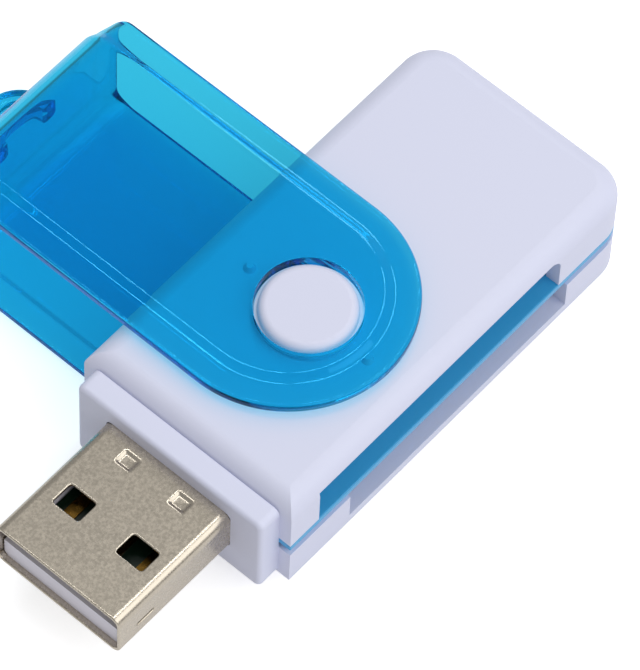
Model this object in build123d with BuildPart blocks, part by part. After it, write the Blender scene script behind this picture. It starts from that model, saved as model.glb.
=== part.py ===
from build123d import *
import os
from math import hypot

# Card reader with a swivel cover. The cover's pivot is the Z axis, the plug points to -X, the wide card
# slots are on -Y, and the reader lies on its cover at Z = 0. All sizes are in millimetres.

# Body
body_length = 38.2
body_width = 20.0
body_height = 10.1
pivot_to_front = 13.1
wall = 1.2
rear_corner = 3.0
front_corner = 1.8
least_corner = 0.2
top_edge = 1.7
bottom_edge = 0.4
rib = 1.0
rib_gap = 0.35

# Dividing plate between the shells
plate_height = 4.0
plate_thickness = 1.3
plate_ledge = 0.4
plate_ledge_width = 0.6
plate_front_bar = 5.0
plate_side_bar = 2.0

# Plug collar
collar_length = 2.0
collar_width = 17.8
collar_low_step = 0.4
collar_top_step = 1.0
collar_corner = 0.6
collar_edge = 0.4

# USB-A plug
plug_width = 12.0
plug_height = 4.5
plug_metal = 0.3
plug_corner = 0.6
plug_out = 11.8
plug_held = 3.9
plug_lead_in = 0.15
window_length = 2.0
window_width = 2.5
window_corner = 0.25
window_from_tip = 5.2
window_spacing = 6.1
dimple_length = 1.3
dimple_width = 1.5
dimple_depth = 0.18
dimple_slope = 50
dimple_from_collar = 1.5
dimple_spacing = 5.1
side_slot_from_tip = 1.9
side_slot_length = 1.8
side_slot_height = 0.35
side_slot_drop = 0.4
tongue_setback = 0.5
tongue_play = 0.1
tongue_chamfer = 0.35
tongue_lip = 1.0
tongue_rim = 0.7
usb_contact_width = 1.0
usb_contact_setback = 1.2
usb_contact_stagger = 1.0
usb_contact_inner = 1.0
usb_contact_outer = 3.5
usb_contact_tail = 2.6

# Card slots: how far each starts from the front of the body, the opening for its card, and the rib between
# the wide and the narrow slots, measured from the body's middle line
ms_from_front = 3.1
ms_width = 26.7
ms_height = 3.6
ms_corner = 1.0
sd_from_front = 6.6
sd_width = 24.3
sd_height = 2.7
microsd_from_front = 7.1
microsd_width = 11.6
microsd_height = 1.4
m2_from_front = 18.1
m2_width = 13.0
m2_height = 1.8
stop_offset = 1.0

# Contact springs
strip = 0.15
spring_foot = 1.3
spring_reach = 2.1
spring_lip = 0.7
spring_gap = 0.2
wide_rise = 1.0
narrow_rise = 0.7
sd_contacts = 9
sd_pitch = 2.5
sd_strip_width = 1.1
ms_contacts = 10
ms_pitch = 1.7
ms_strip_width = 0.9
microsd_contacts = 8
microsd_pitch = 1.1
microsd_strip_width = 0.6
m2_contacts = 11
m2_pitch = 1.0
m2_strip_width = 0.5

# Circuit board and what is soldered to it
board_play = 0.1
crystal_from_front = 3.1
crystal_length = 3.2
crystal_width = 2.5
crystal_height = 0.8
chip_from_front = 9.1
chip_size = 4.0
chip_height = 0.9
small_parts_from_rear = 2.5
small_parts_pitch = 3.0
capacitor_length = 2.0
capacitor_width = 1.25
capacitor_height = 0.9
resistor_length = 1.6
resistor_width = 0.8
resistor_height = 0.45
led_length = 1.6
led_width = 0.8
led_height = 0.6

# Swivel cover
cover_width = 19.6
cover_play = 0.5
heel = 7.7
band = 0.8
panel_rise = 0.3
panel_inset = 2.7
bevel = 0.75
end_wall = 0.8
tip_clearance = 0.2
cover_bend = 2.4
cover_edge = 0.2
inner_bend = 1.9
pivot_bore = 8.1
bearing_play = 0.08
bearing_height = 0.75
button_play = 0.33
boss_edge = 0.65
detent_circle = 5.7
detent_count = 8
detent_radius = 0.5
detent_depth = 0.15
pip_height = 0.4
loop_outer = 3.3
loop_inner = 1.9
loop_height = 2.2
loop_edge = 0.4

# Levels, from the underside of the cover to its top
panel = band + panel_rise
body_low = panel + cover_play
plate_low = body_low + plate_height
plate_high = plate_low + plate_thickness
body_high = body_low + body_height
gap_high = body_high + cover_play
cover_high = gap_high + panel
band_low = panel_rise
band_high = cover_high - panel_rise
middle = cover_high / 2
slot_roof = plate_high + ms_height
slot_floor = plate_low - sd_height
board_low = plate_low + plate_ledge
plug_level = plate_high

# Stations along the body
body_front = -pivot_to_front
body_rear = body_front + body_length
body_middle = body_front + body_length / 2
body_side = body_width / 2
collar_front = body_front - collar_length
plug_tip = collar_front - plug_out
plug_end = collar_front + plug_held
ms_start = body_front + ms_from_front
sd_start = body_front + sd_from_front
microsd_start = body_front + microsd_from_front
m2_start = body_front + m2_from_front

# Cover outline: its end wall clears the plug's corners and the body's rear corners as it turns
cover_side = cover_width / 2
heel_centre = cover_side - heel
plug_sweep = hypot(plug_tip, plug_width / 2)
rear_sweep = hypot(body_rear - rear_corner, body_side - rear_corner) + rear_corner
reach = max(plug_sweep, rear_sweep) + tip_clearance
panel_end = reach + end_wall
band_end = panel_end - panel_rise
panel_side = cover_side - panel_inset
bevel_side = panel_side + bevel
cover_corner = cover_side - bevel_side
panel_join = heel_centre + cover_side

os.makedirs("parts", exist_ok=True)


def save(piece, label):
    piece.part.label = label
    export_step(piece.part, f"parts/{label}.step")


def body_outline(inset):
    """Body seen from above, drawn inset by a distance, with rounder corners at the rear."""
    with Locations((body_middle, 0)):
        Rectangle(body_length - 2 * inset, body_width - 2 * inset)
    ends = vertices().group_by(Axis.X)
    fillet(ends[-1], max(rear_corner - inset, least_corner))
    fillet(ends[0], max(front_corner - inset, least_corner))


def slot_outline(start, width, low, height):
    """Card slot seen from the side."""
    with Locations((start + width / 2, low + height / 2)):
        Rectangle(width, height)


def slab(x_low, x_high, y_low, y_high, z_low, z_high, mode=Mode.ADD):
    """Rectangular rib or pocket between two corners."""
    with Locations(((x_low + x_high) / 2, (y_low + y_high) / 2, (z_low + z_high) / 2)):
        Box(x_high - x_low, y_high - y_low, z_high - z_low, mode=mode)


def plug_outline(inset):
    """Section across the plug, drawn inset by a distance."""
    Rectangle(plug_width - 2 * inset, plug_height - 2 * inset)
    fillet(vertices(), max(plug_corner - inset, least_corner))


def across(x):
    """Plane across the body at a station, centred on the plug, with its normal towards the rear."""
    return Plane(origin=(x, 0, plug_level), x_dir=(0, 1, 0), z_dir=(1, 0, 0))


def boss(level, up, finish):
    """Pivot boss on a shell's flat face: a bearing shoulder, then a slimmer button with its rim finished."""
    shoulder = level + up * bearing_height / 2
    with Locations((0, 0, shoulder)):
        Cylinder(pivot_bore / 2 - bearing_play, bearing_height)
    rise = cover_play + panel
    with Locations((0, 0, level + up * rise / 2)):
        Cylinder(pivot_bore / 2 - button_play, rise)
    crown = faces().sort_by(Axis.Z)[-1 if up > 0 else 0]
    finish(crown.edges(), boss_edge)


# Upper shell
with BuildPart() as upper_shell:
    with BuildSketch(Plane.XY.offset(plate_high)):
        body_outline(0)
    extrude(amount=body_high - plate_high)
    fillet(faces().sort_by(Axis.Z)[-1].edges(), top_edge)
    with BuildSketch(Plane.XY.offset(plate_high)):
        body_outline(wall)
    extrude(amount=slot_roof - plate_high, mode=Mode.SUBTRACT)
    collar_low = body_low + collar_low_step
    collar_high = body_high - collar_top_step
    with BuildSketch(across(body_front)):
        with Locations((0, (collar_low + collar_high) / 2 - plug_level)):
            Rectangle(collar_width, collar_high - collar_low)
        fillet(vertices(), collar_corner)
    extrude(amount=-collar_length)
    fillet(faces().sort_by(Axis.X)[0].edges(), collar_edge)
    with BuildSketch(across(collar_front)):
        plug_outline(0)
    extrude(amount=plug_held, mode=Mode.SUBTRACT)
    rib_low = plate_high + rib_gap
    ms_end = ms_start + ms_width
    slab(plug_end + rib_gap, body_rear - wall, stop_offset, stop_offset + rib, rib_low, slot_roof)
    slab(ms_start - rib, ms_start, wall - body_side, stop_offset, rib_low, slot_roof)
    slab(ms_end, ms_end + rib, wall - body_side, stop_offset, rib_low, slot_roof)
    microsd_end = microsd_start + microsd_width
    microsd_roof = plate_high + microsd_height
    slab(microsd_start, microsd_end, stop_offset + rib, body_side - wall, microsd_roof, slot_roof)
    with BuildSketch(Plane.XZ.offset(body_side)):
        slot_outline(ms_start, ms_width, plate_high, ms_height)
        fillet(vertices().group_by(Axis.Y)[-1].sort_by(Axis.X)[-1], ms_corner)
    extrude(amount=-wall, mode=Mode.SUBTRACT)
    with BuildSketch(Plane.XZ.offset(-body_side)):
        slot_outline(microsd_start, microsd_width, plate_high, microsd_height)
    extrude(amount=wall, mode=Mode.SUBTRACT)
    boss(body_high, 1, fillet)
    with Locations((0, 0, body_high + pip_height / 2)):
        with PolarLocations(detent_circle, 2, start_angle=90):
            Cone(detent_radius, detent_radius / 2, pip_height)
save(upper_shell, "upper_shell")


# Lower shell
with BuildPart() as lower_shell:
    with BuildSketch(Plane.XY.offset(body_low)):
        body_outline(0)
    extrude(amount=plate_height)
    chamfer(faces().sort_by(Axis.Z)[0].edges(), bottom_edge)
    with BuildSketch(Plane.XY.offset(slot_floor)):
        body_outline(wall)
    extrude(amount=plate_low - slot_floor, mode=Mode.SUBTRACT)
    with BuildSketch(across(body_front)):
        plug_outline(0)
    extrude(amount=wall, mode=Mode.SUBTRACT)
    rib_high = plate_low - rib_gap
    sd_end = sd_start + sd_width
    slab(plug_end + rib_gap, body_rear - wall, stop_offset, stop_offset + rib, slot_floor, rib_high)
    slab(sd_start - rib, sd_start, wall - body_side, stop_offset, slot_floor, rib_high)
    slab(sd_end, sd_end + rib, wall - body_side, stop_offset, slot_floor, rib_high)
    m2_end = m2_start + m2_width
    m2_floor = plate_low - m2_height
    slab(m2_start, m2_end, stop_offset + rib, body_side - wall, slot_floor, m2_floor)
    with BuildSketch(Plane.XZ.offset(body_side)):
        slot_outline(sd_start, sd_width, plate_low - sd_height, sd_height)
    extrude(amount=-wall, mode=Mode.SUBTRACT)
    with BuildSketch(Plane.XZ.offset(-body_side)):
        slot_outline(m2_start, m2_width, m2_floor, m2_height)
    extrude(amount=wall, mode=Mode.SUBTRACT)
    boss(body_low, -1, chamfer)
save(lower_shell, "lower_shell")

# Dividing plate, with a stepped window that holds the circuit board
window_front = plug_end
window_rear = body_rear - plate_side_bar
window_low = plate_front_bar - body_side
window_high = body_side - plate_side_bar
with BuildPart() as card_frame:
    with BuildSketch(Plane.XY.offset(plate_low)):
        body_outline(0)
    extrude(amount=plate_thickness)
    slab(window_front, window_rear, window_low, window_high, board_low, plate_high, Mode.SUBTRACT)
    ledge_low = window_low + plate_ledge_width
    ledge_high = window_high - plate_ledge_width
    ledge_rear = window_rear - plate_ledge_width
    slab(window_front, ledge_rear, ledge_low, ledge_high, plate_low, board_low, Mode.SUBTRACT)
    slab(body_front, plug_end, -plug_width / 2, plug_width / 2, plate_low, plate_high, Mode.SUBTRACT)
save(card_frame, "card_frame")

# Plug shell: folded steel with latch windows above and below, two pressed dimples and a slot in each side
window_station = plug_tip + window_from_tip
dimple_station = collar_front - dimple_from_collar
side_slot_station = plug_tip + side_slot_from_tip + side_slot_length / 2
plug_side = plug_height / 2
with BuildPart() as usb_plug_shell:
    with BuildSketch(across(plug_tip)):
        plug_outline(0)
    extrude(amount=plug_out + plug_held)
    chamfer(faces().sort_by(Axis.X)[0].edges(), plug_lead_in)
    with BuildSketch(across(plug_tip)):
        plug_outline(plug_metal)
    extrude(amount=plug_out + plug_held, mode=Mode.SUBTRACT)
    with BuildSketch(Plane.XY.offset(plug_level - plug_side)):
        with Locations((window_station, 0)):
            with GridLocations(0, window_spacing, 1, 2):
                RectangleRounded(window_length, window_width, window_corner)
    extrude(amount=plug_height, mode=Mode.SUBTRACT)
    with BuildSketch(Plane.XY.offset(plug_level + plug_side)):
        with Locations((dimple_station, 0)):
            with GridLocations(0, dimple_spacing, 1, 2):
                Rectangle(dimple_length, dimple_width)
    extrude(amount=-dimple_depth, taper=dimple_slope, mode=Mode.SUBTRACT)
    with Locations((side_slot_station, 0, plug_level - side_slot_drop)):
        Box(side_slot_length, plug_width, side_slot_height, mode=Mode.SUBTRACT)
save(usb_plug_shell, "usb_plug_shell")

# Plug tongue: a carrier whose pocket holds the front of the board, flush with the board's upper face
tongue_low = plug_level - plug_side + plug_metal
tongue_side = plug_width / 2 - plug_metal - tongue_play
pocket_front = plug_tip + tongue_setback + tongue_lip
pocket_side = tongue_side - tongue_rim
with BuildPart() as usb_plug_tongue:
    slab(plug_tip + tongue_setback, plug_end, -tongue_side, tongue_side, tongue_low, plug_level)
    chamfer(edges().filter_by(Axis.X).group_by(Axis.Z)[0], tongue_chamfer)
    slab(pocket_front, plug_end, -pocket_side, pocket_side, board_low, plug_level, Mode.SUBTRACT)
save(usb_plug_tongue, "usb_plug_tongue")

# Plug contacts: the outer pair reaches further forward than the inner pair
contact_rows = (-usb_contact_outer, -usb_contact_inner, usb_contact_inner, usb_contact_outer)
for number, row in enumerate(contact_rows, start=1):
    stagger = usb_contact_stagger if abs(row) == usb_contact_inner else 0
    tip = plug_tip + tongue_setback + usb_contact_setback + stagger
    tail = plug_end + usb_contact_tail
    half = usb_contact_width / 2
    with BuildPart() as usb_contact:
        slab(tip, tail, row - half, row + half, plug_level, plug_level + strip)
    save(usb_contact, f"usb_contact_{number}")

# Circuit board, with a neck that reaches into the plug and carries its contacts
board_front = window_front + board_play
board_rear = window_rear - board_play
with BuildPart() as circuit_board:
    slab(board_front, board_rear, window_low + board_play, window_high - board_play, board_low, plate_high)
    neck_front = pocket_front + board_play
    neck_side = pocket_side - board_play
    slab(neck_front, board_front, -neck_side, neck_side, board_low, plate_high)
save(circuit_board, "circuit_board")


def spring_outline(foot, way, level, up, rise):
    """Bent contact strip seen from the side: foot on the board, sloping arm, turned-down lip."""
    arm = foot + way * spring_foot
    crest = arm + way * spring_reach
    lip = crest + way * spring_lip
    low = level + up * rise
    dip = level + up * rise / 2
    step = up * strip
    Polygon(
        (foot, level), (arm, level), (crest, low), (lip, dip),
        (lip, dip + step), (crest, low + step), (arm, level + step), (foot, level + step),
        align=None,
    )


# Side view of the springs in each slot: foot, way they point, board face, up or down, rise
wide_foot = stop_offset - spring_gap
narrow_foot = stop_offset + rib + spring_gap
spring_sides = {
    "sd_contact": (wide_foot, -1, board_low, -1, wide_rise),
    "ms_contact": (wide_foot, -1, plate_high, 1, wide_rise),
    "microsd_contact": (narrow_foot, 1, plate_high, 1, narrow_rise),
    "m2_contact": (narrow_foot, 1, board_low, -1, narrow_rise),
}

# Rows of springs: how many, pitch, strip width, start and width of the slot
spring_rows = {
    "sd_contact": (sd_contacts, sd_pitch, sd_strip_width, sd_start, sd_width),
    "ms_contact": (ms_contacts, ms_pitch, ms_strip_width, ms_start, ms_width),
    "microsd_contact": (microsd_contacts, microsd_pitch, microsd_strip_width, microsd_start, microsd_width),
    "m2_contact": (m2_contacts, m2_pitch, m2_strip_width, m2_start, m2_width),
}
for row_name, (count, pitch, strip_width, slot_start, slot_width) in spring_rows.items():
    for number in range(1, count + 1):
        station = slot_start + slot_width / 2 + (number - (count + 1) / 2) * pitch
        with BuildPart() as spring:
            with BuildSketch(Plane.YZ.offset(station - strip_width / 2)):
                spring_outline(*spring_sides[row_name])
            extrude(amount=strip_width)
        save(spring, f"{row_name}_{number}")

# Parts soldered to the board beside the narrow slots: station, row, board face, up or down, size
rear_row = (stop_offset + rib + ledge_high) / 2
small_parts = board_rear - small_parts_from_rear
crystal_size = (crystal_width, crystal_length, crystal_height)
package_size = (chip_size, chip_size, chip_height)
capacitor_size = (capacitor_width, capacitor_length, capacitor_height)
resistor_size = (resistor_width, resistor_length, resistor_height)
led_size = (led_width, led_length, led_height)
soldered_parts = {
    "crystal": (board_front + crystal_from_front, rear_row, board_low, -1, crystal_size),
    "controller_chip": (board_front + chip_from_front, rear_row, board_low, -1, package_size),
    "indicator_led": (small_parts, rear_row, plate_high, 1, led_size),
    "resistor_1": (small_parts - small_parts_pitch, rear_row, plate_high, 1, resistor_size),
    "resistor_2": (small_parts - 2 * small_parts_pitch, rear_row, plate_high, 1, resistor_size),
    "capacitor_1": (small_parts - 3 * small_parts_pitch, rear_row, plate_high, 1, capacitor_size),
    "capacitor_2": (small_parts - 4 * small_parts_pitch, rear_row, plate_high, 1, capacitor_size),
}
for part_name, (station, row, level, up, size) in soldered_parts.items():
    with BuildPart() as soldered:
        with Locations((station, row, level + up * size[2] / 2)):
            Box(*size)
    save(soldered, part_name)


def heel_outline(side):
    """Round heel of the cover seen from above, as wide either side of the middle line as given."""
    with Locations((0, heel_centre)):
        Circle(side)
    with Locations((0, (heel_centre + panel_join) / 2)):
        Rectangle(2 * side, panel_join - heel_centre)


def end_profile(grow):
    """Side view of the cover's bent far end, grown outwards by a distance."""
    far = band_end + grow
    with Locations(((panel_join + far) / 2, middle)):
        Rectangle(far - panel_join, band_high - band_low + 2 * grow)
    fillet(vertices().group_by(Axis.X)[-1], cover_bend + grow)


# Swivel cover: two plates bent into one at the far end, with a raised panel that runs right round
with BuildPart() as swivel_cover:
    with BuildSketch(Plane.XY.offset(band_low)):
        with Locations((0, (heel_centre + band_end) / 2)):
            Rectangle(cover_width, band_end - heel_centre)
        fillet(vertices().group_by(Axis.Y)[-1], cover_corner)
        with Locations((0, heel_centre)):
            Circle(cover_side)
    extrude(amount=band_high - band_low)
    chamfer(faces().filter_by(Axis.Z).edges(), cover_edge)
    with BuildSketch(Plane.YZ):
        with Locations((0, middle)):
            Rectangle(2 * band_end, band_high - band_low)
        fillet(vertices().group_by(Axis.X)[-1], cover_bend)
    extrude(amount=cover_side, both=True, mode=Mode.INTERSECT)
    for foot, crown in ((band_high, cover_high), (band_low, 0)):
        with BuildSketch(Plane.XY.offset(foot)):
            heel_outline(bevel_side)
        with BuildSketch(Plane.XY.offset(crown)):
            heel_outline(panel_side)
        loft(ruled=True)
    with BuildSketch(Plane.YZ.offset(-bevel_side)):
        end_profile(0)
    with BuildSketch(Plane.YZ.offset(-panel_side)):
        end_profile(panel_rise)
    with BuildSketch(Plane.YZ.offset(panel_side)):
        end_profile(panel_rise)
    with BuildSketch(Plane.YZ.offset(bevel_side)):
        end_profile(0)
    loft(ruled=True)
    with BuildSketch(Plane.XZ.offset(-panel_end)):
        with Locations(((loop_outer + loop_inner) / 2, middle)):
            Rectangle(loop_outer - loop_inner, loop_height)
        chamfer(vertices(), loop_edge)
    revolve(axis=Axis((0, panel_end, 0), (0, 0, 1)))
    with BuildSketch(Plane.YZ):
        with Locations((0, middle)):
            Rectangle(2 * reach, gap_high - panel)
        fillet(vertices().group_by(Axis.X)[-1], inner_bend)
    extrude(amount=cover_side, both=True, mode=Mode.SUBTRACT)
    with Locations((0, 0, middle)):
        Cylinder(pivot_bore / 2, cover_high, mode=Mode.SUBTRACT)
    with Locations((0, 0, gap_high + detent_depth / 2)):
        with PolarLocations(detent_circle, detent_count):
            Cone(detent_radius, detent_radius / 2, detent_depth, mode=Mode.SUBTRACT)
save(swivel_cover, "swivel_cover")
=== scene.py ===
"""Finish and stage for a card reader with a swivel cover, laid out as an add-on and run as a script."""

from math import cos, radians, sin

import bmesh
import bpy
import numpy as np
from bpy.props import FloatProperty, FloatVectorProperty, PointerProperty
from mathutils import Matrix, Vector


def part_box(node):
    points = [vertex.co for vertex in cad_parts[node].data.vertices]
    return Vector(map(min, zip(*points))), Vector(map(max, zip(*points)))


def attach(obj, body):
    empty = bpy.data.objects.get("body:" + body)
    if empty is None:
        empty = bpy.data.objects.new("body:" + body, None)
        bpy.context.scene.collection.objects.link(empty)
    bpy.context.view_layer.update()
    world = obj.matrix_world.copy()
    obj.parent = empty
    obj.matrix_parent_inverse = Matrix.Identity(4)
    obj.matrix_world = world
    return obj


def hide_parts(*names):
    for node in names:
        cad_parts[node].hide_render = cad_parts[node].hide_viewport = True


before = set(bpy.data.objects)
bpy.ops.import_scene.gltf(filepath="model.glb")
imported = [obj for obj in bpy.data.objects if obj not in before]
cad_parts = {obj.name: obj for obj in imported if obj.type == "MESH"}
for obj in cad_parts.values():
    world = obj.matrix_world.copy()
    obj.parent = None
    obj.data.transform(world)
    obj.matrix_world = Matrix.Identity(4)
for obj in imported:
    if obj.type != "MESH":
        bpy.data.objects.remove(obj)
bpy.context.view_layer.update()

bl_info = {
    "name": "Swivel card reader",
    "version": (1, 0, 0),
    "blender": (4, 5, 0),
    "location": "View3D > Sidebar > Reader",
    "description": "Finishes the mouldings, plug and cover of a card reader and sets up its stage",
    "category": "Object",
}

MM = 0.001
FRAME_LONG_SIDE = 670
SENSOR = 36.0


def linear(code):
    """Linear colour of an sRGB hex code: each channel leaves its gamma curve, straight near black."""
    srgb = np.array([int(code[at:at + 2], 16) for at in (1, 3, 5)]) / 255
    plain = np.where(srgb <= 0.04045, srgb / 12.92, ((srgb + 0.055) / 1.055) ** 2.4)
    return tuple(float(channel) for channel in plain)


def add_node(tree, kind, settings=None, links=None):
    """Adds a node of a kind, with its attributes or input values set and its inputs linked."""
    node = tree.nodes.new(kind)
    for key, value in (settings or {}).items():
        if isinstance(key, int) or key in node.inputs:
            node.inputs[key].default_value = value
        else:
            setattr(node, key, value)
    for key, socket in (links or {}).items():
        tree.links.new(socket, node.inputs[key])
    return node


def new_material(name):
    """An empty node material and its tree."""
    material = bpy.data.materials.new(name)
    material.use_nodes = True
    material.node_tree.nodes.clear()
    return material, material.node_tree


def finish_material(tree, surface, volume=None):
    """Sends a surface, and a volume where there is one, to the material's output."""
    links = {"Surface": surface}
    if volume:
        links["Volume"] = volume
    add_node(tree, "ShaderNodeOutputMaterial", None, links)


def dress(names, material):
    """Gives CAD nodes a material through their slots."""
    for name in names:
        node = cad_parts[name]
        if not node.material_slots:
            node.data.materials.append(material)
        for slot in node.material_slots:
            slot.material = material


def numbered(stem):
    """Names of the CAD nodes in a numbered row."""
    return sorted(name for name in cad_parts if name.startswith(stem))


def colour_property(name, description, code):
    """A colour that a user would change, given as a hex code."""
    return FloatVectorProperty(
        name=name, description=description, subtype="COLOR", size=3, min=0, max=1, default=linear(code)
    )


class ReaderFinish(bpy.types.PropertyGroup):
    """Colours of the reader's materials."""

    shell_white: colour_property("Shell white", "Cool white of the moulded shells", "#DADDF2")
    frame_blue: colour_property("Frame blue", "Blue of the dividing plate", "#35A4DC")
    cover_tint: colour_property("Cover tint", "Light that the faces of a plate let through", "#48CFEE")
    cover_shade: colour_property("Cover shade", "Light that each face lets through to the shadow", "#CDF3FD")
    cover_dye: colour_property("Cover dye", "Light that the thickness of the cover lets through", "#15EBF9")
    nickel: colour_property("Nickel", "Plating on the plug's steel", "#C4BBAC")
    tongue_white: colour_property("Tongue white", "Insulator inside the plug", "#E4E1EC")
    # the gold below is darker than flash plating: painted shade for the dark inside of the plug's windows
    gold_with_painted_shade: colour_property("Gold", "Flash plating on the contacts", "#8E6C30")
    # the board green below is darker than solder mask: painted shade for the dark inside of the plug's
    # windows
    board_green: colour_property("Board green", "Solder mask on the board", "#0A2015")
    chip_black: colour_property("Chip black", "Moulded chip package", "#1C1C1F")
    tin: colour_property("Tin", "Can of the crystal", "#B9BABD")
    capacitor_tan: colour_property("Capacitor tan", "Fired ceramic of the capacitors", "#A98258")


COVER_LOW, COVER_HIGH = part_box("swivel_cover")
PLUG_LOW, PLUG_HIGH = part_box("usb_plug_shell")
PLATE_LOW, PLATE_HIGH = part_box("card_frame")


def length_property(name, description, metres):
    """A length that a user would change."""
    return FloatProperty(name=name, description=description, unit="LENGTH", default=metres, precision=5)


class ReaderCover(bpy.types.PropertyGroup):
    """Sizes of the swivel cover."""

    half_width: length_property("Half width", "From the middle line to a side", COVER_HIGH.x)
    heel: length_property("Heel", "From the pivot to the round heel", -COVER_LOW.y)
    height: length_property("Height", "Over both plates", COVER_HIGH.z)
    band: length_property("Band", "Thickness of the plates at their rim", 0.8 * MM)
    rise: length_property("Rise", "Raised panel above the band", 0.3 * MM)
    inset: length_property("Inset", "From the rim to the crest of the raised panel", 2.7 * MM)
    bevel: length_property("Bevel", "Width of the slope up to the raised panel", 0.75 * MM)
    reach: length_property("Reach", "From the pivot to the inside of the end wall", 27.761 * MM)
    end_wall: length_property("End wall", "Thickness of the end wall at the raised panel", 0.8 * MM)
    bend: length_property("Bend", "Outside radius of the far bends at the band", 2.4 * MM)
    inner_bend: length_property("Inner bend", "Inside radius of the far bends", 1.9 * MM)
    far_corner: length_property("Far corner", "Radius of the two far corners", 2.0 * MM)
    bore: length_property("Bore", "Radius of the pivot hole", 4.05 * MM)
    rim_round: length_property("Rim round", "Radius on the outer rim", 0.3 * MM)
    inner_round: length_property("Inner round", "Radius on the inner rim", 0.2 * MM)
    hole_round: length_property("Hole round", "Radius on the edges of the pivot hole", 0.08 * MM)
    bevel_round: length_property("Bevel round", "Radius at the foot and crest of the slope", 1.2 * MM)
    detent_circle: length_property("Detent circle", "Radius of the ring of detents", 5.7 * MM)
    detent_radius: length_property("Detent radius", "Radius of a detent", 0.6 * MM)
    detent_depth: length_property("Detent depth", "Depth of a detent in the upper plate", 0.03 * MM)
    loop_outer: length_property("Loop outside", "Outside radius of the lanyard loop", 3.3 * MM)
    loop_inner: length_property("Loop inside", "Inside radius of the lanyard loop", 1.9 * MM)
    loop_height: length_property("Loop height", "Height of the lanyard loop", 2.2 * MM)
    loop_round: length_property("Loop round", "Radius on the lanyard loop's edges", 0.45 * MM)


class ReaderPlate(bpy.types.PropertyGroup):
    """Sizes of the dividing plate."""

    rear_corner: length_property("Rear corner", "Radius of the rear corners", 3.0 * MM)
    front_corner: length_property("Front corner", "Radius of the front corners", 0.1 * MM)
    lip: length_property("Lip", "Thickness of the lip that shows between the shells", 0.65 * MM)
    undercut: length_property("Undercut", "How far the plate draws back under its lip", 0.4 * MM)
    lip_round: length_property("Lip round", "Radius on the edges of the lip", 0.1 * MM)
    slot_bar: length_property("Slot bar", "Bar between the wide slots and the board", 5.0 * MM)
    rear_bar: length_property("Rear bar", "Bar round the rest of the board", 2.0 * MM)


class ReaderPlug(bpy.types.PropertyGroup):
    """Sizes of the plug's folded steel."""

    metal: length_property("Metal", "Thickness of the sheet", 0.3 * MM)
    bend: length_property("Bend", "Outside radius of the folds", 0.8 * MM)
    mouth_round: length_property("Mouth round", "Radius on the ends of the sheet", 0.12 * MM)
    rolled_edge: length_property("Rolled edge", "Radius that the punch leaves on a cut edge", 0.12 * MM)
    window_back: length_property("Window back", "From the tip to the middle of the latch windows", 5.2 * MM)
    window_off: length_property("Window off", "From the middle line to a latch window", 3.05 * MM)
    window_long: length_property("Window long", "Latch window along the plug", 2.0 * MM)
    window_wide: length_property("Window wide", "Latch window across the plug", 2.5 * MM)
    dimple_back: length_property("Dimple back", "From the tip to the middle of the dimples", 10.3 * MM)
    dimple_off: length_property("Dimple off", "From the middle line to a dimple", 2.55 * MM)
    dimple_long: length_property("Dimple long", "Dimple along the plug", 1.3 * MM)
    dimple_wide: length_property("Dimple wide", "Dimple across the plug", 1.5 * MM)
    dimple_deep: length_property("Dimple deep", "Depth that a dimple is pressed", 0.18 * MM)
    slot_back: length_property("Slot back", "From the tip to the middle of the side slots", 2.8 * MM)
    slot_drop: length_property("Slot drop", "From the middle of the plug down to the side slots", 0.4 * MM)
    slot_long: length_property("Slot long", "Side slot along the plug", 1.8 * MM)
    slot_tall: length_property("Slot tall", "Height of a side slot", 0.35 * MM)


def angle_property(name, description, degrees):
    """An angle that a user would change."""
    return FloatProperty(name=name, description=description, subtype="ANGLE", default=radians(degrees))


def power_property(name, description, watts):
    """The power of a lamp, which a user would change."""
    return FloatProperty(name=name, description=description, unit="POWER", default=watts, min=0)


class ReaderStage(bpy.types.PropertyGroup):
    """Camera, lamps and floor."""

    azimuth: angle_property("Azimuth", "Turn of the camera about the pivot", -51.121)
    elevation: angle_property("Elevation", "Height of the camera above the floor", 58.706)
    roll: angle_property("Roll", "Turn of the camera about its own axis", 2.894)
    distance: length_property("Distance", "From the pivot to the camera", 450.342 * MM)
    slide_right: length_property("Slide right", "Camera moved across its view", 1.1525 * MM)
    slide_up: length_property("Slide up", "Camera moved up its view", 4.7305 * MM)
    focal_pixels: FloatProperty(
        name="Focal length", description="In pixels of the picture", default=6082.76, min=100
    )
    floor_colour: colour_property("Floor", "Pale table top", "#F2F2F4")
    floor_glow: FloatProperty(
        name="Floor glow", description="White added where the floor is looked at", default=0.55, min=0, max=1
    )
    sky: FloatProperty(name="Sky", description="Light from all round", default=0.4, min=0)
    key_power: power_property("Key lamp", "Large soft lamp over the slots", 2.2)
    fill_power: power_property("Fill lamp", "Small lamp beyond the body's rear", 0.13)
    strip_power: power_property("Strip lamps", "Each of the long narrow lamps overhead", 0.25)


ABS_IOR = 1.54
PLASTIC_IOR = 1.5
POLYCARBONATE_IOR = 1.58
POLISHED = 0.02
BLUE_GLOSS = (0.1, 0.7, 1.0, 1)
DYE_DENSITY = 440.0
MOTTLE = (0.85, 1.15)


def grain_noise(tree, grain, detail):
    """Noise whose patches are as wide as a grain in millimetres."""
    place = add_node(tree, "ShaderNodeTexCoord").outputs["Object"]
    settings = {"Scale": 1 / (grain * MM), "Detail": detail}
    return add_node(tree, "ShaderNodeTexNoise", settings, {"Vector": place}).outputs["Fac"]


def grained(tree, noise, gloss, strength, depth):
    """Roughness that wanders through a range and a normal bumped to a depth in millimetres, by a noise."""
    low, high = gloss
    roughness = add_node(tree, "ShaderNodeMapRange", {"To Min": low, "To Max": high}, {"Value": noise})
    bump = add_node(tree, "ShaderNodeBump", {"Strength": strength, "Distance": depth * MM}, {"Height": noise})
    return {"Roughness": roughness.outputs["Result"], "Normal": bump.outputs["Normal"]}


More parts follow.
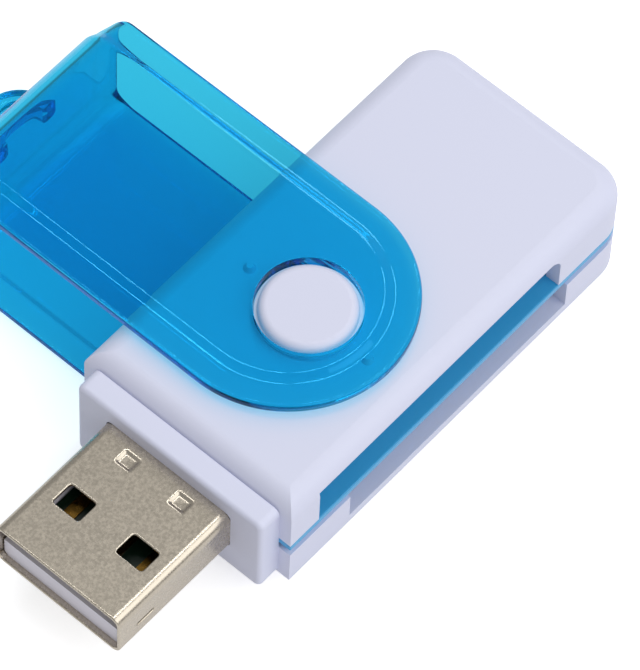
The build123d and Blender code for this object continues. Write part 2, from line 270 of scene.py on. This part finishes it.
def moulded_abs(colour):
    """ABS from a fine spark-eroded mould: a satin white with a barely uneven gloss."""
    material, tree = new_material("moulded_white_abs")
    # grit of the mould, drawn at 0.12 mm so that it shows
    grit = grain_noise(tree, 0.12, 2.0)
    surface = grained(tree, grit, gloss=(0.42, 0.54), strength=0.04, depth=0.01)
    plastic = add_node(
        tree, "ShaderNodeBsdfPrincipled", {"Base Color": (*colour, 1), "IOR": ABS_IOR}, surface
    )
    finish_material(tree, plastic.outputs["BSDF"])
    return material


def clear_blue_plastic(tint, shade, dye):
    """Polished clear moulding, dyed in the mass: it darkens with thickness, and lamps shine through it."""
    material, tree = new_material("clear_blue_polycarbonate")
    glass = add_node(
        tree,
        "ShaderNodeBsdfPrincipled",
        {
            "Base Color": (*tint, 1),
            "Transmission Weight": 1.0,
            "IOR": POLYCARBONATE_IOR,
            "Roughness": POLISHED,
            "Specular Tint": BLUE_GLOSS,
        },
    )
    open_way = add_node(tree, "ShaderNodeBsdfTransparent", {"Color": (*shade, 1)}).outputs["BSDF"]
    path = add_node(tree, "ShaderNodeLightPath")
    surface = glass.outputs["BSDF"]
    for rays in ("Is Diffuse Ray", "Is Shadow Ray"):
        links = {"Fac": path.outputs[rays], 1: surface, 2: open_way}
        surface = add_node(tree, "ShaderNodeMixShader", None, links).outputs["Shader"]
    depth = add_node(tree, "ShaderNodeVolumeAbsorption", {"Color": (*dye, 1), "Density": DYE_DENSITY})
    finish_material(tree, surface, depth.outputs["Volume"])
    return material


def plain_plastic(name, colour, roughness, grain, depth):
    """Moulded or cast plastic: an even colour, and a fine grain whose width and depth are in millimetres."""
    material, tree = new_material(name)
    noise = grain_noise(tree, grain, 3.0)
    surface = grained(tree, noise, gloss=(roughness - 0.06, roughness + 0.06), strength=0.1, depth=depth)
    plastic = add_node(
        tree, "ShaderNodeBsdfPrincipled", {"Base Color": (*colour, 1), "IOR": PLASTIC_IOR}, surface
    )
    finish_material(tree, plastic.outputs["BSDF"])
    return material


def plated_metal(name, colour, roughness, grain):
    """Plated sheet: a metal mottled in colour and gloss over the grain of the rolled strip, almost level."""
    material, tree = new_material(name)
    noise = grain_noise(tree, grain, 3.0)
    surface = grained(tree, noise, gloss=(roughness - 0.08, roughness + 0.08), strength=0.02, depth=0.02)
    dark, light = ((*(share * channel for channel in colour), 1) for share in MOTTLE)
    # a Mix node has its colours at inputs 6 and 7 and at output 2
    mottle = add_node(tree, "ShaderNodeMix", {"data_type": "RGBA", 6: dark, 7: light}, {0: noise})
    surface["Base Color"] = mottle.outputs[2]
    metal = add_node(tree, "ShaderNodeBsdfPrincipled", {"Metallic": 1.0}, surface)
    finish_material(tree, metal.outputs["BSDF"])
    return material


class READER_OT_shells(bpy.types.Operator):
    """Finishes the two white half shells of the body"""

    bl_idname = "reader.shells"
    bl_label = "Shells"

    def execute(self, context):
        finish = context.scene.reader_finish
        dress(["upper_shell", "lower_shell"], moulded_abs(finish.shell_white))
        return {"FINISHED"}


def rounded_line(corners, radii, steps=6, lead=0.02 * MM):
    """Line through corners whose turns are arcs: each arc swings evenly about its centre, from the point
    where it leaves one leg to the point where it meets the next, with a short lead on either side."""
    corners = np.array(corners, float)
    share = np.linspace(0, 1, steps + 1)[:, None]
    line = [corners[:1]]
    for before, corner, after, radius in zip(corners, corners[1:], corners[2:], radii):
        back = (before - corner) / np.linalg.norm(before - corner)
        ahead = (after - corner) / np.linalg.norm(after - corner)
        half = np.arccos(back @ ahead) / 2
        middle = (back + ahead) / np.linalg.norm(back + ahead)
        centre = corner + middle * radius / np.sin(half)
        start = corner + back * radius / np.tan(half)
        end = corner + ahead * radius / np.tan(half)
        turn = np.pi - 2 * half
        swing = np.sin((1 - share) * turn) * (start - centre) + np.sin(share * turn) * (end - centre)
        line += [start[None] + back * lead, centre + swing / np.sin(turn), end[None] + ahead * lead]
    return np.vstack([*line, corners[-1:]])


def grid_faces(rows, columns, first, closed_rows=False, closed_columns=False):
    """Corner numbers of the quads of a grid that may close on itself either way."""
    row = np.arange(rows if closed_rows else rows - 1)[:, None]
    column = np.arange(columns if closed_columns else columns - 1)[None, :]
    next_row = (row + 1) % rows
    next_column = (column + 1) % columns
    quads = [row * columns + column, row * columns + next_column,
             next_row * columns + next_column, next_row * columns + column]
    return first + np.stack(quads, axis=-1).reshape(-1, 4)


WELD = 0.001 * MM


def mesh_of(name, grids):
    """Mesh of grids, each given with the ways it closes, welded where they meet and facing outwards."""
    points, faces, first = [], [], 0
    for grid, closed_rows, closed_columns in grids:
        rows, columns = grid.shape[:2]
        points.append(grid.reshape(-1, 3))
        faces.append(grid_faces(rows, columns, first, closed_rows, closed_columns))
        first += rows * columns
    mesh = bpy.data.meshes.new(name)
    mesh.from_pydata(np.vstack(points).tolist(), [], np.vstack(faces).tolist())
    work = bmesh.new()
    work.from_mesh(mesh)
    bmesh.ops.remove_doubles(work, verts=work.verts, dist=WELD)
    bmesh.ops.recalc_face_normals(work, faces=work.faces)
    work.to_mesh(mesh)
    work.free()
    mesh.shade_smooth()
    return mesh


# How finely the cover is drawn
SIDE_STEPS = 40
PANEL_STEPS = 19
HEEL_STEPS = 160
BEND_STEPS = 20
ACROSS_STEPS = 60
OUTER_ROWS = 3
INNER_ROWS = 50
LOOP_STEPS = 64

# Where the cover's grids meet: this far from the pivot along its length, in from the inner rim, in from the
# crest of the slope, and out from the pivot hole. The loop's ends are turned on into the end wall.
PANEL_START = 8 * MM
INNER_MARGIN = 0.6 * MM
CREST_MARGIN = 0.4 * MM
HOLE_MARGIN = 0.25 * MM
LOOP_SINK = radians(8)


def strip_stations(shape):
    """Side view of the bent strip, from the top plate over the end wall to the bottom plate: its inner face,
    its band and its outward direction, each as (y, z). The bends are quarter arcs, and the lower half mirrors
    the upper."""
    inner_top = shape.height - (shape.band + shape.rise)
    heel_centre = shape.half_width - shape.heel
    bend_start = shape.reach - shape.inner_bend
    near = np.linspace(heel_centre, PANEL_START, SIDE_STEPS + 1)
    plate = np.concatenate([near, np.linspace(PANEL_START, bend_start, PANEL_STEPS + 1)[1:]])
    angle = np.linspace(np.pi / 2, 0, BEND_STEPS + 1)
    swing = np.stack([np.cos(angle), np.sin(angle)], -1)
    middle = shape.height / 2

    def half(level, radius):
        flat = np.stack([plate, np.full_like(plate, level)], -1)
        arc = (bend_start, level - radius) + radius * swing[1:]
        return np.vstack([flat, arc, [(bend_start + radius, middle)]])

    upper_inner = half(inner_top, shape.inner_bend)
    upper_band = half(inner_top + shape.band, shape.bend)
    upright = np.tile((0.0, 1.0), (len(plate), 1))
    upper_out = np.vstack([upright, swing[1:], [(1.0, 0.0)]])

    def both(upper, offset):
        lower = upper[-2::-1] * (1, -1) + (0, offset)
        return np.vstack([upper, lower])

    return both(upper_inner, shape.height), both(upper_band, shape.height), both(upper_out, 0)


def on_strip(shape, stations, across, above):
    """Points of the bent strip at places across it and heights above its inner face: between the inner face
    and the band by share, then outwards. Past the start of the far corners the square corner is drawn in to a
    quarter disc, (u, v) going to (u * sqrt(1 - v * v / 2), v * sqrt(1 - u * u / 2))."""
    inner, band, out = (part[:, None, :] for part in stations)
    share = np.clip(above / shape.band, 0, 1)[None, :, None]
    beyond = np.maximum(above - shape.band, 0)[None, :, None]
    side = inner + (band - inner) * share + out * beyond
    x = np.broadcast_to(across, side.shape[:2])
    corner = shape.far_corner
    band_end = shape.reach + shape.end_wall - shape.rise
    u = np.clip((np.abs(x) - shape.half_width + corner) / corner, 0, 1)
    v = np.clip((side[..., 0] - band_end + corner) / corner, 0, 1)
    drawn_x = x + np.sign(x) * corner * u * (np.sqrt(1 - v * v / 2) - 1)
    drawn_y = side[..., 0] + corner * v * (np.sqrt(1 - u * u / 2) - 1)
    return np.stack([drawn_x, drawn_y, side[..., 1]], -1)


def cover_mesh(shape):
    """Swivel cover as one skin. A profile with rounded edges is carried round the closed edge of the bent
    strip; straight lines across the strip close its inner and outer faces; round the pivot, lines from the
    hole's rounded profile to the rim close the two plates, and eight detents sink into the upper one by a
    smooth step."""
    width, panel = shape.half_width, shape.band + shape.rise
    outer_line = shape.inset + CREST_MARGIN
    foot = shape.inset - shape.bevel
    profile = rounded_line(
        [(INNER_MARGIN, 0), (0, 0), (0, shape.band), (foot, shape.band), (shape.inset, panel),
         (outer_line, panel)],
        [shape.inner_round, shape.rim_round, shape.bevel_round, shape.bevel_round],
    )
    inwards, above = profile.T
    stations = strip_stations(shape)
    right = on_strip(shape, stations, width - inwards, above)
    left = on_strip(shape, stations, inwards - width, above)
    centre = width - shape.heel
    inner_top = shape.height - panel
    angle = np.linspace(0, -np.pi, HEEL_STEPS + 1)[1:-1, None]
    heel = np.stack(
        [(width - inwards) * np.cos(angle), centre + (width - inwards) * np.sin(angle),
         np.broadcast_to(inner_top + above, (HEEL_STEPS - 1, len(above)))], -1
    )
    low_heel = heel * (1, 1, -1) + (0, 0, shape.height)
    rim = np.concatenate([right, low_heel, left[::-1], heel[::-1]])
    grids = [(rim, True, False)]

    beyond = [part[SIDE_STEPS:len(part) - SIDE_STEPS] for part in stations]
    for line, level in ((outer_line, panel), (INNER_MARGIN, 0.0)):
        across = np.linspace(width - line, line - width, ACROSS_STEPS + 1)
        grids.append((on_strip(shape, beyond, across, np.full_like(across, level)), False, False))

    def contour(line):
        side = width - line
        along = np.linspace(PANEL_START, centre, SIDE_STEPS + 1)
        across = np.linspace(-side, side, ACROSS_STEPS + 1)[1:-1]
        turn = np.linspace(0, -np.pi, HEEL_STEPS + 1)[1:-1]
        return np.vstack([
            np.stack([np.full_like(along, side), along], -1),
            np.stack([side * np.cos(turn), centre + side * np.sin(turn)], -1),
            np.stack([np.full_like(along, -side), along[::-1]], -1),
            np.stack([across, np.full_like(across, PANEL_START)], -1),
        ])

    outer, inner = contour(outer_line), contour(INNER_MARGIN)
    spoke = outer / np.linalg.norm(outer, axis=1, keepdims=True)
    wide = shape.bore + HOLE_MARGIN
    hole = rounded_line(
        [(wide, panel), (shape.bore, panel), (shape.bore, 0), (wide, 0)], [shape.hole_round] * 2
    )
    out_share = np.linspace(0, 1, OUTER_ROWS + 1)[:-1, None, None]
    in_share = np.linspace(0, 1, INNER_ROWS + 1)[1:, None, None]
    outer_rows = outer + (spoke * wide - outer) * out_share
    inner_rows = spoke * wide + (inner - spoke * wide) * in_share
    rows = np.concatenate([outer_rows, spoke * hole[:, 0, None, None], inner_rows])
    level = np.concatenate([np.full(len(outer_rows), panel), hole[:, 1], np.zeros(len(inner_rows))])
    level = np.broadcast_to(level[:, None], rows.shape[:2])
    low_plate = np.concatenate([rows, panel - level[..., None]], -1)

    eighth = np.pi / 4
    turned = np.arctan2(rows[..., 1], rows[..., 0])
    turned = turned - eighth * np.round(turned / eighth)
    away = np.linalg.norm(rows, axis=-1)
    off = np.hypot(away * np.cos(turned) - shape.detent_circle, away * np.sin(turned))
    step = np.clip(1 - off / shape.detent_radius, 0, 1)
    sunk = shape.detent_depth * step * step * (3 - 2 * step) * (level == 0)
    high_plate = np.concatenate([rows, (inner_top + level + sunk)[..., None]], -1)
    grids += [(high_plate, False, True), (low_plate, False, True)]
    return mesh_of("cover_skin", grids)


def capped(rows):
    """Grids of a tube given as rows of closed loops, each end closed by a fan about its middle."""
    ends = [np.stack([loop, np.broadcast_to(loop.mean(0), loop.shape)]) for loop in (rows[0], rows[-1])]
    return [(grid, False, True) for grid in (rows, *ends)]


def loop_mesh(shape):
    """Lanyard loop: a rectangle with round edges carried a little more than half round a circle, its ends
    inside the end wall."""
    tall = shape.loop_height / 2
    mid = (shape.loop_inner + shape.loop_outer) / 2
    section = rounded_line(
        [(mid, -tall), (shape.loop_outer, -tall), (shape.loop_outer, tall), (shape.loop_inner, tall),
         (shape.loop_inner, -tall), (mid, -tall)],
        [shape.loop_round] * 4,
    )[:-1]
    turn = np.linspace(-LOOP_SINK, np.pi + LOOP_SINK, LOOP_STEPS + 1)[:, None]
    y = shape.reach + shape.end_wall + section[:, 0] * np.sin(turn)
    z = np.broadcast_to(shape.height / 2 + section[:, 1], y.shape)
    tube = np.stack([section[:, 0] * np.cos(turn), y, z], -1)
    return mesh_of("loop_skin", capped(tube))


def combined(name, first, second, operation):
    """One object whose mesh is the union of two closed meshes, or the first less the second."""
    holders = [bpy.data.objects.new(name + "_work", mesh) for mesh in (first, second)]
    for holder in holders:
        bpy.context.scene.collection.objects.link(holder)
    boolean = holders[0].modifiers.new("boolean", "BOOLEAN")
    boolean.operation = operation
    boolean.solver = "EXACT"
    boolean.object = holders[1]
    ready = holders[0].evaluated_get(bpy.context.evaluated_depsgraph_get())
    mesh = bpy.data.meshes.new_from_object(ready)
    mesh.materials.clear()
    for holder in holders:
        bpy.data.objects.remove(holder)
    piece = bpy.data.objects.new(name, mesh)
    bpy.context.scene.collection.objects.link(piece)
    return piece


def corner_swing(steps):
    """Signs of a rectangle's four corners, and directions that swing through a quarter turn at each."""
    angle = (np.arange(4)[:, None] * np.pi / 2 + np.linspace(0, np.pi / 2, steps + 1)).ravel()
    signs = np.repeat([(1, 1), (-1, 1), (-1, -1), (1, -1)], steps + 1, axis=0)
    return signs, np.stack([np.cos(angle), np.sin(angle)], -1)


def outline(half_width, half_height, bend, steps=10):
    """Points round a rectangle with quarter-round corners, each corner swung evenly about its own centre, and
    the outward direction at each."""
    signs, out = corner_swing(steps)
    return signs * (half_width - bend, half_height - bend) + bend * out, out


PLATE_FACE = 1.2 * MM
PLATE_FOOT_ROUND = 0.05 * MM
PLATE_CORNER_STEPS = 12


def plate_mesh(shape):
    """Dividing plate: a profile with a lip and an undercut is carried round the body's outline, whose round
    corners shrink by the inset until they are square; fans about the middle close its two faces."""
    high, low = PLATE_HIGH.z, PLATE_LOW.z
    lip_low, undercut = high - shape.lip, shape.undercut
    profile = rounded_line(
        [(PLATE_FACE, high), (0, high), (0, lip_low), (undercut, lip_low), (undercut, low),
         (PLATE_FACE, low)],
        [shape.lip_round, shape.lip_round, PLATE_FOOT_ROUND, PLATE_FOOT_ROUND],
    )
    signs, out = corner_swing(PLATE_CORNER_STEPS)
    radii = [shape.rear_corner, shape.front_corner, shape.front_corner, shape.rear_corner]
    radius = np.repeat(radii, PLATE_CORNER_STEPS + 1)
    middle = (np.array(PLATE_LOW) + np.array(PLATE_HIGH))[:2] / 2
    half = (np.array(PLATE_HIGH) - np.array(PLATE_LOW))[:2] / 2
    inset = profile[:, :1]
    centre = middle + signs * (half - np.maximum(radius, inset)[..., None])
    flat = centre + np.maximum(radius - inset, 0)[..., None] * out
    level = np.broadcast_to(profile[:, 1, None, None], (*flat.shape[:2], 1))
    return mesh_of("plate_skin", capped(np.concatenate([flat, level], -1)))


def plate_cut(shape):
    """Upright prism that takes the board's window and the plug's place out of the plate."""
    front, rear = PLUG_HIGH.x, PLATE_HIGH.x - shape.rear_bar
    low, high = PLATE_LOW.y + shape.slot_bar, PLATE_HIGH.y - shape.rear_bar
    out = PLATE_LOW.x - MM
    loop = np.array([
        (out, PLUG_LOW.y), (front, PLUG_LOW.y), (front, low), (rear, low), (rear, high), (front, high),
        (front, PLUG_HIGH.y), (out, PLUG_HIGH.y),
    ])
    levels = (PLATE_LOW.z - MM, PLATE_HIGH.z + MM)
    ends = [np.concatenate([loop, np.full((len(loop), 1), level)], -1) for level in levels]
    return mesh_of("plate_cut", capped(np.stack(ends)))


SHARP = radians(40)


class READER_OT_inside(bpy.types.Operator):
    """Builds the dividing plate and finishes it, the board and everything soldered to it"""

    bl_idname = "reader.inside"
    bl_label = "Inside"

    def execute(self, context):
        finish = context.scene.reader_finish
        shape = context.scene.reader_plate
        plate = combined("dividing_plate", plate_mesh(shape), plate_cut(shape), "DIFFERENCE")
        plate.data.set_sharp_from_angle(angle=SHARP)
        blue = plain_plastic("moulded_blue_abs", finish.frame_blue, roughness=0.32, grain=0.2, depth=0.01)
        plate.data.materials.append(blue)
        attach(plate, "reader_body")
        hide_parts("card_frame")
        # pieces, material, colour, roughness, and the width and depth of the grain in millimetres
        plastics = (
            # the board's green holds painted shade: darkened past solder mask to stand for the shade inside
            # the plug
            (["circuit_board"], "green_solder_mask", finish.board_green, 0.3, 0.4, 0.02),
            (["controller_chip"], "moulded_black_epoxy", finish.chip_black, 0.5, 0.1, 0.02),
            (numbered("resistor"), "black_thick_film", finish.chip_black, 0.3, 0.2, 0.01),
            (numbered("capacitor"), "fired_tan_ceramic", finish.capacitor_tan, 0.45, 0.1, 0.02),
            (["indicator_led"], "clear_lens_epoxy", finish.tongue_white, 0.15, 0.3, 0.005),
        )
        for names, *values in plastics:
            dress(names, plain_plastic(*values))
        dress(["crystal"], plated_metal("tinned_crystal_can", finish.tin, roughness=0.3, grain=0.3))
        rows = ("sd_contact", "ms_contact", "microsd_contact", "m2_contact")
        springs = [name for row in rows for name in numbered(row)]
        # the contacts' gold holds painted shade: darkened past flash plating to stand for the shade inside
        # the reader
        gilt_with_painted_shade = plated_metal("gold_flashed_spring_bronze_with_painted_shade", finish.gold_with_painted_shade, roughness=0.25, grain=0.3)
        dress(springs, gilt_with_painted_shade)
        return {"FINISHED"}


def plug_mesh(shape):
    """Folded tube: a flat strip with round ends is carried round a rectangle with round corners, its
    thickness measured inwards."""
    tip, end = PLUG_LOW.x, PLUG_HIGH.x
    start = tip + (shape.window_back + shape.dimple_back) / 2
    strip = rounded_line(
        [(start, 0), (tip, 0), (tip, shape.metal), (end, shape.metal), (end, 0), (start, 0)],
        [shape.mouth_round] * 4,
    )[:-1]
    middle = (PLUG_LOW + PLUG_HIGH) / 2
    across, out = outline(PLUG_HIGH.y, PLUG_HIGH.z - middle.z, shape.bend)
    section = across - out * strip[:, 1, None, None] + (middle.y, middle.z)
    along = np.broadcast_to(strip[:, 0, None, None], (*section.shape[:2], 1))
    return mesh_of("plug_skin", [(np.concatenate([along, section], -1), True, True)])


WINDOW_CORNER = 0.25 * MM
DIMPLE_CORNER = 0.15 * MM
DIMPLE_SLOPE = 1.2
SLOT_CORNER = 0.12 * MM
PUNCH_OVER = 0.1 * MM
PUNCH_STEPS = 4
CUT_ANGLE = radians(25)
ROLL_SEGMENTS = 3


def plug_cuts(shape):
    """What the punch takes from the folded tube: upright prisms for the latch windows, shallow frustums for
    the dimples in the upper face, and one prism across for the side slots."""
    tip = PLUG_LOW.x
    top, middle = PLUG_HIGH.z, (PLUG_LOW.z + PLUG_HIGH.z) / 2

    def loop(station, off, level, half_long, half_wide, corner):
        flat = outline(half_long, half_wide, corner, PUNCH_STEPS)[0] + (tip + station, off)
        return np.concatenate([flat, np.full((len(flat), 1), level)], -1)

    grids = []
    for side in (-1, 1):
        off, half_long, half_wide = side * shape.window_off, shape.window_long / 2, shape.window_wide / 2
        window = [
            loop(shape.window_back, off, level, half_long, half_wide, WINDOW_CORNER)
            for level in (PLUG_LOW.z - MM, top + MM)
        ]
        off, half_long, half_wide = side * shape.dimple_off, shape.dimple_long / 2, shape.dimple_wide / 2
        dimple = []
        for lift in (-shape.dimple_deep, PUNCH_OVER):
            grow = DIMPLE_SLOPE * lift
            dimple.append(
                loop(shape.dimple_back, off, top + lift, half_long + grow, half_wide + grow, DIMPLE_CORNER)
            )
        grids += capped(np.stack(window)) + capped(np.stack(dimple))
    flat = outline(shape.slot_long / 2, shape.slot_tall / 2, SLOT_CORNER, PUNCH_STEPS)[0]
    flat = flat + (tip + shape.slot_back, middle - shape.slot_drop)
    sides = (PLUG_LOW.y - MM, PLUG_HIGH.y + MM)
    slots = [np.stack([flat[:, 0], np.full(len(flat), side), flat[:, 1]], -1) for side in sides]
    return mesh_of("plug_cuts", grids + capped(np.stack(slots)))


class READER_OT_plug(bpy.types.Operator):
    """Builds the plug's folded steel and finishes it, its insulator and its four contacts"""

    bl_idname = "reader.plug"
    bl_label = "Plug"

    def execute(self, context):
        finish = context.scene.reader_finish
        shape = context.scene.reader_plug
        steel = combined("steel_shell", plug_mesh(shape), plug_cuts(shape), "DIFFERENCE")
        nickel = plated_metal("nickel_plated_rolled_steel", finish.nickel, roughness=0.27, grain=0.22)
        steel.data.materials.append(nickel)
        edges = steel.modifiers.new("rolled_edges", "BEVEL")
        edges.width = shape.rolled_edge
        edges.segments = ROLL_SEGMENTS
        edges.limit_method = "ANGLE"
        edges.angle_limit = CUT_ANGLE
        steel.modifiers.new("flat_faces", "WEIGHTED_NORMAL")
        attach(steel, "reader_body")
        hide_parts("usb_plug_shell")
        white = finish.tongue_white
        nylon = plain_plastic("moulded_white_nylon", white, roughness=0.4, grain=0.2, depth=0.01)
        dress(["usb_plug_tongue"], nylon)
        # the contacts' gold holds painted shade: darkened past flash plating to stand for the shade inside
        # the plug's windows
        gilt_with_painted_shade = plated_metal("gold_flashed_copper_with_painted_shade", finish.gold_with_painted_shade, roughness=0.25, grain=0.3)
        dress(numbered("usb_contact"), gilt_with_painted_shade)
        return {"FINISHED"}


class READER_OT_cover(bpy.types.Operator):
    """Builds the swivel cover with its rounded edges and lanyard loop"""

    bl_idname = "reader.cover"
    bl_label = "Cover"

    def execute(self, context):
        finish = context.scene.reader_finish
        shape = context.scene.reader_cover
        cover = combined("clear_cover", cover_mesh(shape), loop_mesh(shape), "UNION")
        cover.data.set_sharp_from_angle(angle=SHARP)
        clear_blue = clear_blue_plastic(finish.cover_tint, finish.cover_shade, finish.cover_dye)
        cover.data.materials.append(clear_blue)
        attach(cover, "cover")
        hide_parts("swivel_cover")
        return {"FINISHED"}


FLOOR_HALF = 1.5
FLOOR_DROP = 0.02 * MM
GLOSS_SHARE = 0.3
BOUNCES = 24
NEAR_CLIP = 0.01


def white_where_seen(tree, shader, strength):
    """Adds white to a shader where the camera sees it, and a share of that where gloss or clear plastic does.
    None of it lights a thing."""
    path = add_node(tree, "ShaderNodeLightPath")
    through = add_node(
        tree,
        "ShaderNodeMath",
        {"operation": "MAXIMUM"},
        {0: path.outputs["Is Glossy Ray"], 1: path.outputs["Is Transmission Ray"]},
    )
    dimmed = add_node(
        tree, "ShaderNodeMath", {"operation": "MULTIPLY", 1: GLOSS_SHARE * strength}, {0: through.outputs[0]}
    )
    level = add_node(
        tree,
        "ShaderNodeMath",
        {"operation": "MULTIPLY_ADD", 1: strength},
        {0: path.outputs["Is Camera Ray"], 2: dimmed.outputs[0]},
    )
    glow = add_node(tree, "ShaderNodeEmission", {"Color": (1, 1, 1, 1)}, {"Strength": level.outputs[0]})
    return add_node(tree, "ShaderNodeAddShader", None, {0: shader, 1: glow.outputs[0]}).outputs[0]


def add_floor(scene, stage):
    """Pale table top just under the reader, which shows white and keeps the shadow."""
    corners = ((-1, -1), (1, -1), (1, 1), (-1, 1))
    mesh = bpy.data.meshes.new("floor")
    mesh.from_pydata([(FLOOR_HALF * x, FLOOR_HALF * y, -FLOOR_DROP) for x, y in corners], [], [(0, 1, 2, 3)])
    floor = bpy.data.objects.new("floor", mesh)
    scene.collection.objects.link(floor)
    material, tree = new_material("pale_table_top")
    matt = add_node(tree, "ShaderNodeBsdfDiffuse", {"Color": (*stage.floor_colour, 1)})
    finish_material(tree, white_where_seen(tree, matt.outputs["BSDF"], stage.floor_glow))
    mesh.materials.append(material)


def add_sky(scene, stage):
    """Even light from all round, which the camera sees as white."""
    world = bpy.data.worlds.new("soft_sky")
    world.use_nodes = True
    tree = world.node_tree
    tree.nodes.clear()
    seen = add_node(tree, "ShaderNodeLightPath").outputs["Is Camera Ray"]
    level = add_node(tree, "ShaderNodeMapRange", {"To Min": stage.sky, "To Max": 1.0}, {"Value": seen})
    sky = add_node(
        tree, "ShaderNodeBackground", {"Color": (1, 1, 1, 1)}, {"Strength": level.outputs["Result"]}
    )
    add_node(tree, "ShaderNodeOutputWorld", None, {"Surface": sky.outputs["Background"]})
    scene.world = world


def aimed(location, target, up):
    """World matrix at a place, looking down its own -Z at a target."""
    back = (location - target).normalized()
    right = up.cross(back).normalized()
    turn = Matrix((right, back.cross(right), back)).transposed()
    return Matrix.Translation(location) @ turn.to_4x4()


def soft_lamp(name, power, location, up, width, height):
    """Soft box that faces the pivot, its height along the given way up."""
    lamp = bpy.data.lights.new(name, "AREA")
    lamp.shape = "RECTANGLE"
    lamp.size = width
    lamp.size_y = height
    lamp.energy = power
    holder = bpy.data.objects.new(name, lamp)
    holder.matrix_world = aimed(Vector(location), Vector(), Vector(up))
    bpy.context.scene.collection.objects.link(holder)


def add_lamps(stage):
    """A large lamp over the slots, three narrow strips overhead that the cover's ridges mirror, and a small
    lamp beyond the body's rear. Places and sizes are in metres."""
    upright, strip = (0, 0, 1), stage.strip_power
    near, top, rear = 1.4 * strip, strip, 1.2 * strip
    soft_lamp("key_lamp", stage.key_power, (0.05, -0.47, 0.5), upright, width=0.7, height=0.6)
    soft_lamp("strip_lamp_near", near, (0.018, 0.15, 0.58), (0.89, 0.45, 0), width=0.22, height=0.05)
    soft_lamp("strip_lamp_top", top, (0.162, 0, 0.578), (0.34, 0.94, 0), width=0.18, height=0.045)
    soft_lamp("strip_lamp_rear", rear, (0.336, 0.033, 0.498), (-0.59, 0.81, 0), width=0.22, height=0.045)
    soft_lamp("fill_lamp", stage.fill_power, (0.34, 0.15, 0.33), upright, width=0.08, height=0.08)


def add_camera(scene, stage):
    """Camera that looks along a turn and a lift at the pivot, rolled and slid in its own picture plane."""
    turn, lift, roll = stage.azimuth, stage.elevation, stage.roll
    level_back = Vector((sin(turn), -cos(turn), 0))
    back = cos(lift) * level_back + sin(lift) * Vector((0, 0, 1))
    level_right = Vector((cos(turn), sin(turn), 0))
    level_up = back.cross(level_right)
    right = cos(roll) * level_right + sin(roll) * level_up
    up = cos(roll) * level_up - sin(roll) * level_right
    place = stage.distance * back + stage.slide_right * right + stage.slide_up * up
    lens = bpy.data.cameras.new("camera")
    lens.sensor_width = SENSOR
    lens.lens = stage.focal_pixels * SENSOR / FRAME_LONG_SIDE
    lens.clip_start = NEAR_CLIP
    camera = bpy.data.objects.new("camera", lens)
    camera.matrix_world = Matrix.Translation(place) @ Matrix((right, up, back)).transposed().to_4x4()
    scene.collection.objects.link(camera)
    scene.camera = camera


class READER_OT_stage(bpy.types.Operator):
    """Sets up the floor, the soft lamps, the sky and the camera"""

    bl_idname = "reader.stage"
    bl_label = "Stage"

    def execute(self, context):
        scene = context.scene
        stage = scene.reader_stage
        scene.view_settings.view_transform = "Standard"
        scene.cycles.max_bounces = BOUNCES
        scene.cycles.glossy_bounces = BOUNCES
        scene.cycles.transmission_bounces = BOUNCES
        add_floor(scene, stage)
        add_sky(scene, stage)
        add_lamps(stage)
        add_camera(scene, stage)
        return {"FINISHED"}


STEPS = (READER_OT_shells, READER_OT_inside, READER_OT_plug, READER_OT_cover, READER_OT_stage)


GROUPS = ("reader_finish", "reader_plate", "reader_plug", "reader_cover", "reader_stage")


class READER_PT_panel(bpy.types.Panel):
    """Lists the reader's steps and the values that each one uses"""

    bl_idname = "READER_PT_panel"
    bl_label = "Card reader"
    bl_space_type = "VIEW_3D"
    bl_region_type = "UI"
    bl_category = "Reader"

    def draw(self, context):
        for group_name in GROUPS:
            group = getattr(context.scene, group_name)
            box = self.layout.box()
            for name in group.__annotations__:
                box.prop(group, name)
        for step in STEPS:
            self.layout.operator(step.bl_idname)


CLASSES = (ReaderFinish, ReaderPlate, ReaderPlug, ReaderCover, ReaderStage, *STEPS, READER_PT_panel)


def register():
    for cls in CLASSES:
        bpy.utils.register_class(cls)
    bpy.types.Scene.reader_finish = PointerProperty(type=ReaderFinish)
    bpy.types.Scene.reader_plate = PointerProperty(type=ReaderPlate)
    bpy.types.Scene.reader_plug = PointerProperty(type=ReaderPlug)
    bpy.types.Scene.reader_cover = PointerProperty(type=ReaderCover)
    bpy.types.Scene.reader_stage = PointerProperty(type=ReaderStage)


def unregister():
    del bpy.types.Scene.reader_finish
    del bpy.types.Scene.reader_plate
    del bpy.types.Scene.reader_plug
    del bpy.types.Scene.reader_cover
    del bpy.types.Scene.reader_stage
    for cls in reversed(CLASSES):
        bpy.utils.unregister_class(cls)


def main():
    register()
    bpy.ops.reader.shells()
    bpy.ops.reader.inside()
    bpy.ops.reader.plug()
    bpy.ops.reader.cover()
    bpy.ops.reader.stage()


if __name__ == "__main__":
    main()
